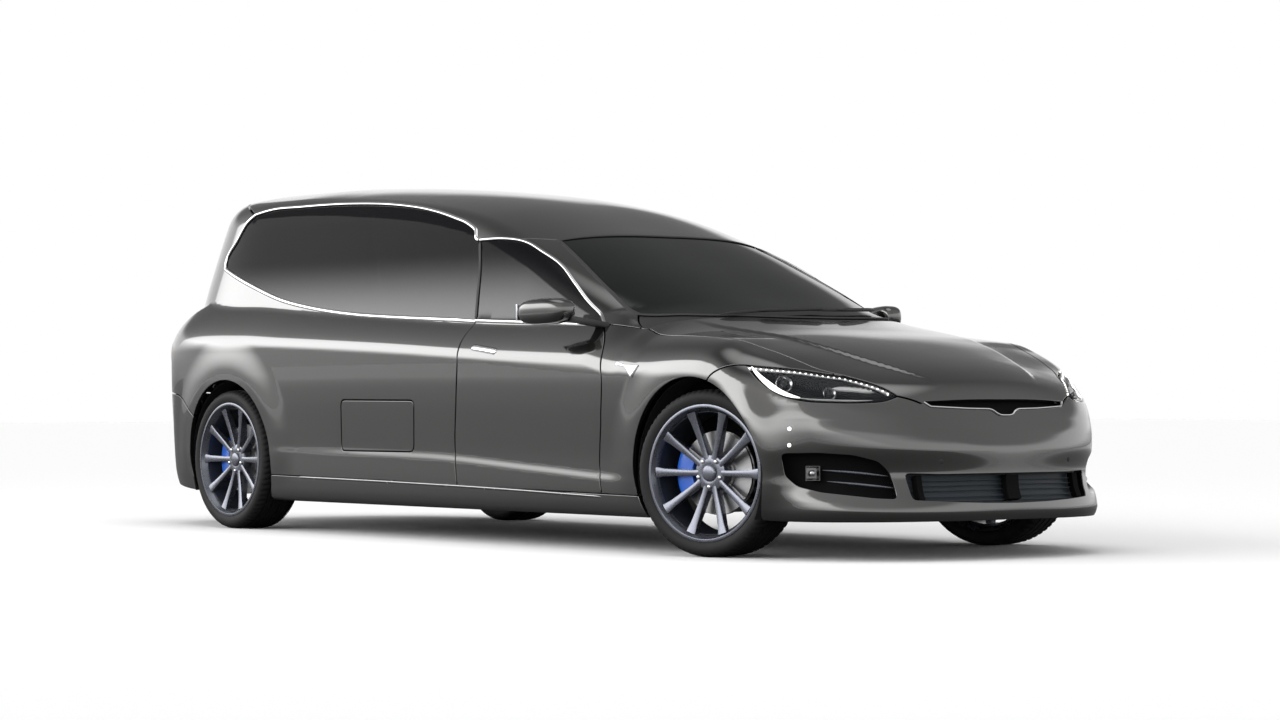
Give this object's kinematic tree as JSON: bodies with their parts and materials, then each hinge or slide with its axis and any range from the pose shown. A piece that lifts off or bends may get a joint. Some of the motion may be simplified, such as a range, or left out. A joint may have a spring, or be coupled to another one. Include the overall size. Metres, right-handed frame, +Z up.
{
  "type": "electric hearse",
  "caption": "Long two-door electric hearse with a raised glazed load space, top-hinged tailgate, opening bonnet and doors, steered front wheels.",
  "frame": {"origin": "on the ground under the middle of the overall box", "axes": "+X forward, +Y to the car's left, +Z up"},
  "size_m": [5.78, 2.17, 1.757],
  "materials": {
    "paint": "metallic grey with clear coat",
    "tinted_glass": "dark tinted",
    "screen_glass": "lightly tinted",
    "lamp": "clear lens over dark housing",
    "tail_lamp": "dark red lens",
    "black_plastic": "moulded",
    "underbody": "coated",
    "trim": "soft grained",
    "leather": "grained",
    "deck_wood": "varnished",
    "alloy": "cast",
    "wheel_paint": "gunmetal",
    "disc_iron": "machined",
    "tyre": "matt",
    "steel": "plain"
  },
  "bodies": {
    "body": {"floor_pan": "underbody", "battery_pack": "alloy", "drive_units": "alloy", "front_suspension": "alloy", "rear_suspension": "alloy", "front_bumper": "paint", "grille": "black_plastic", "headlamps": "lamp", "front_wings": "paint", "side_panels": "paint", "sills": "paint", "roof": "paint", "windscreen": "screen_glass", "side_windows": "tinted_glass", "rear_bumper": "paint", "tail_lamps": "tail_lamp", "dashboard": "trim", "seats": "leather", "coffin_deck": "deck_wood", "deck_supports": "steel", "cab_partition": "trim", "wheel_liners": "black_plastic", "scuttle": "black_plastic", "front_tub": "trim", "cabin_pillars": "paint"},
    "door_left": {"door_left": "paint", "door_glass_left": "tinted_glass", "mirror_left": "paint"},
    "door_right": {"door_right": "paint", "door_glass_right": "tinted_glass", "mirror_right": "paint"},
    "bonnet": {"bonnet": "paint"},
    "tailgate": {"tailgate": "paint", "tailgate_glass": "tinted_glass"},
    "side_hatch": {"side_hatch": "paint"},
    "steering_wheel": {"steering_wheel": "leather"},
    "knuckle_left": {"knuckle_front_left": "alloy"},
    "knuckle_right": {"knuckle_front_right": "alloy"},
    "wheel_front_left": {"tyre_front_left": "tyre", "rim_front_left": "wheel_paint", "brake_disc_front_left": "disc_iron"},
    "wheel_front_right": {"tyre_front_right": "tyre", "rim_front_right": "wheel_paint", "brake_disc_front_right": "disc_iron"},
    "wheel_rear_left": {"tyre_rear_left": "tyre", "rim_rear_left": "wheel_paint", "brake_disc_rear_left": "disc_iron"},
    "wheel_rear_right": {"tyre_rear_right": "tyre", "rim_rear_right": "wheel_paint", "brake_disc_rear_right": "disc_iron"}
  },
  "joints": [
    {"name": "steer_left", "type": "hinge", "parent": "body", "child": "knuckle_left", "pos_m": [1.94, 0.77, 0.352], "axis": [0, 0, 1], "range_deg": [-45, 18]},
    {"name": "steer_right", "type": "hinge", "parent": "body", "child": "knuckle_right", "pos_m": [1.94, -0.77, 0.352], "axis": [0, 0, 1], "range_deg": [-45, 18]},
    {"name": "roll_front_left", "type": "hinge", "parent": "knuckle_left", "child": "wheel_front_left", "pos_m": [1.92498, 0.82809, 0.352], "axis": [-0.2504, 0.9681, 0], "continuous": true},
    {"name": "roll_front_right", "type": "hinge", "parent": "knuckle_right", "child": "wheel_front_right", "pos_m": [1.95502, -0.82809, 0.352], "axis": [-0.2504, 0.9681, 0], "continuous": true},
    {"name": "roll_rear_left", "type": "hinge", "parent": "body", "child": "wheel_rear_left", "pos_m": [-1.795, 0.845, 0.352], "axis": [0, 1, 0], "continuous": true},
    {"name": "roll_rear_right", "type": "hinge", "parent": "body", "child": "wheel_rear_right", "pos_m": [-1.795, -0.845, 0.352], "axis": [0, 1, 0], "continuous": true},
    {"name": "steering_wheel_turn", "type": "hinge", "parent": "body", "child": "steering_wheel", "pos_m": [0.765, 0.385, 0.905], "axis": [-0.9135, 0, 0.4067], "range_deg": [-540, 216]},
    {"name": "door_left_swing", "type": "hinge", "parent": "body", "child": "door_left", "pos_m": [1.32, 0.968, 0.6], "axis": [0, 0, -1], "range_deg": [0, 65]},
    {"name": "door_right_swing", "type": "hinge", "parent": "body", "child": "door_right", "pos_m": [1.32, -0.968, 0.6], "axis": [0, 0, 1], "range_deg": [0, 65]},
    {"name": "bonnet_lift", "type": "hinge", "parent": "body", "child": "bonnet", "pos_m": [1.43, 0, 0.99], "axis": [0, -1, 0], "range_deg": [0, 55]},
    {"name": "tailgate_lift", "type": "hinge", "parent": "body", "child": "tailgate", "pos_m": [-2.465, 0, 1.712], "axis": [0, 1, 0], "range_deg": [0, 80]},
    {"name": "side_hatch_swing", "type": "hinge", "parent": "body", "child": "side_hatch", "pos_m": [-0.425, -0.974, 0.657], "axis": [-1, 0, 0], "range_deg": [0, 85]}
  ],
  "couplings": [
    {"joint": "steer_right", "follows": "steer_left", "ratio": 1},
    {"joint": "steering_wheel_turn", "follows": "steer_left", "ratio": 12}
  ]
}
